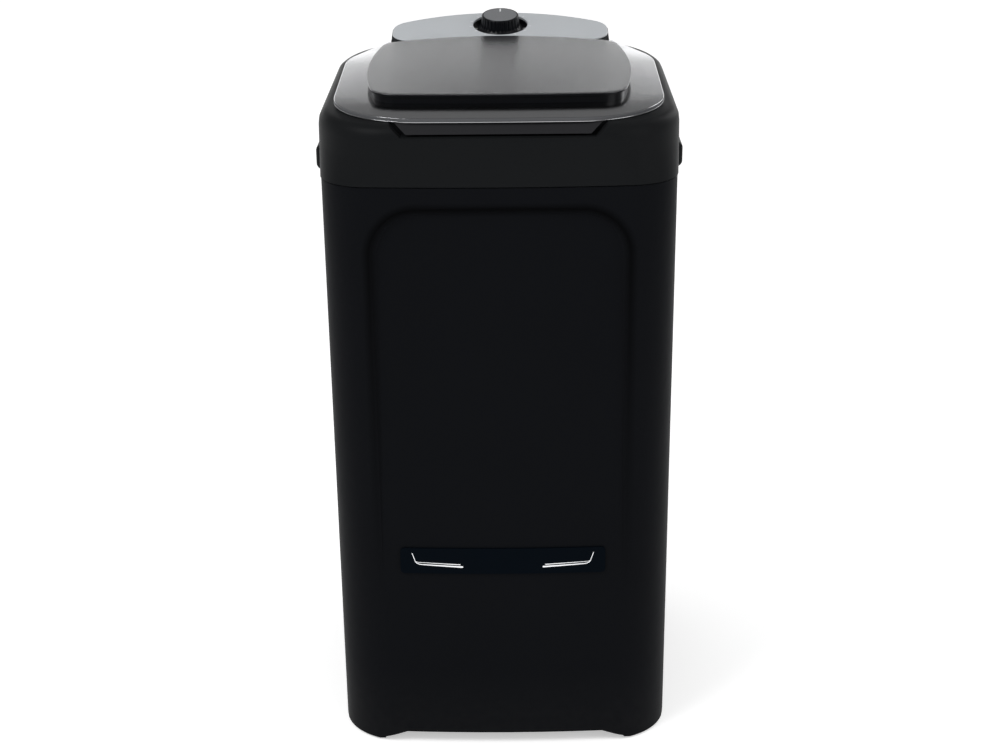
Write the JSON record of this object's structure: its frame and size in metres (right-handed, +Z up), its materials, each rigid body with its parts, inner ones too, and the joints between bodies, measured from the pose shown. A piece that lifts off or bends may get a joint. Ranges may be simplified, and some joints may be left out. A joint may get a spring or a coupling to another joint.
{
  "type": "semi-automatic washing machine",
  "caption": "Top-loading tub washer with a tilting lid, mechanical timer dial and a belt-driven agitator under a moulded cabinet.",
  "frame": {"origin": "on the floor under the middle of the machine's plan box", "axes": "+Z up, +Y towards the rear (control panel), +X to the right seen from the front"},
  "size_m": [0.497, 0.5192, 0.9941],
  "materials": {
    "cabinet_plastic": "moulded black plastic, satin",
    "collar_plastic": "moulded black plastic, light gloss",
    "silver_paint": "silver metallic paint, satin",
    "cover_paint": "grey metallic paint, satin",
    "panel_paint": "pale silver metallic paint, satin",
    "black_plastic": "black, light gloss",
    "white_print": "white print and inlay",
    "badge_print": "very dark blue, gloss",
    "bright_trim": "bright silver foil",
    "tub_plastic": "white moulded plastic",
    "agitator_plastic": "blue-grey moulded plastic",
    "net_fabric": "woven nylon net",
    "rubber_black": "matte",
    "hose_rubber": "matte grey",
    "zinc_steel": "zinc plated",
    "shaft_steel": "ground",
    "cast_alloy": "die cast",
    "pulley_plastic": "glass-filled black plastic",
    "bracket_paint": "black paint on pressed steel",
    "stator_steel": "laminated electrical steel",
    "winding_copper": "enamelled wire",
    "capacitor_case": "pale grey case",
    "timer_case_plastic": "cream moulded plastic",
    "lead_sheath": "black insulation"
  },
  "bodies": {
    "machine": {"cabinet": "cabinet_plastic", "foot_pads": "rubber_black", "front_badge": "badge_print", "badge_stripes": "bright_trim", "rear_cover": "cabinet_plastic", "bottom_cover": "cabinet_plastic", "top_collar": "collar_plastic", "case_screws": "zinc_steel", "hinge_pins": "shaft_steel", "lid_bumpers": "rubber_black", "panel_base": "black_plastic", "panel_fascia": "panel_paint", "dial_marks": "white_print", "timer_case": "timer_case_plastic", "timer_screws": "zinc_steel", "tub": "tub_plastic", "drain_grate": "tub_plastic", "drain_hose": "hose_rubber", "hose_clamps": "zinc_steel", "drain_spigot": "black_plastic", "bearing_housing": "cast_alloy", "bearings": "shaft_steel", "shaft_seal": "rubber_black", "housing_bolts": "zinc_steel", "drive_belt": "rubber_black", "drive_bracket": "bracket_paint", "motor_screws": "zinc_steel", "motor_upper_shield": "cast_alloy", "motor_lower_shield": "cast_alloy", "motor_stator": "stator_steel", "motor_windings": "winding_copper", "capacitor": "capacitor_case", "capacitor_clamp": "zinc_steel", "terminal_block": "timer_case_plastic", "cord_gland": "black_plastic", "lead_clips": "black_plastic", "timer_lead": "lead_sheath", "motor_lead": "lead_sheath", "capacitor_lead": "lead_sheath", "inlet_lead": "lead_sheath"},
    "lid": {"lid_frame": "silver_paint", "lid_band": "black_plastic", "lid_cover": "cover_paint", "lid_liner": "black_plastic", "lid_grip": "black_plastic"},
    "timer_dial": {"timer_knob": "black_plastic", "knob_pointer": "white_print", "timer_shaft": "shaft_steel"},
    "agitator_drive": {"agitator": "agitator_plastic", "agitator_screw": "zinc_steel", "agitator_cap": "agitator_plastic", "drive_shaft": "shaft_steel", "large_pulley": "pulley_plastic", "pulley_nut": "zinc_steel"},
    "motor_spindle": {"motor_rotor": "stator_steel", "motor_shaft": "shaft_steel", "motor_fan": "pulley_plastic", "motor_pulley": "cast_alloy"},
    "lint_filter": {"lint_filter_frame": "agitator_plastic", "lint_net": "net_fabric"}
  },
  "joints": [
    {"name": "lid_hinge", "type": "hinge", "parent": "machine", "child": "lid", "pos_m": [0, 0.215, 0.934], "axis": [-1, 0, 0], "range_deg": [0, 92]},
    {"name": "timer_turn", "type": "hinge", "parent": "machine", "child": "timer_dial", "pos_m": [0, 0.2097, 0.9733], "axis": [0, 0.2096, -0.9778], "range_deg": [0, 330]},
    {"name": "agitator_spin", "type": "hinge", "parent": "machine", "child": "agitator_drive", "pos_m": [0, -0.034, 0.343], "axis": [0, 0, 1], "continuous": true},
    {"name": "motor_spin", "type": "hinge", "parent": "machine", "child": "motor_spindle", "pos_m": [0.096, 0.081, 0.282], "axis": [0, 0, 1], "continuous": true},
    {"name": "lint_filter_lift", "type": "slide", "parent": "machine", "child": "lint_filter", "axis": [0, 0, 1], "range_m": [0, 0.09]}
  ],
  "couplings": [
    {"joint": "motor_spin", "follows": "agitator_spin", "ratio": 4}
  ]
}
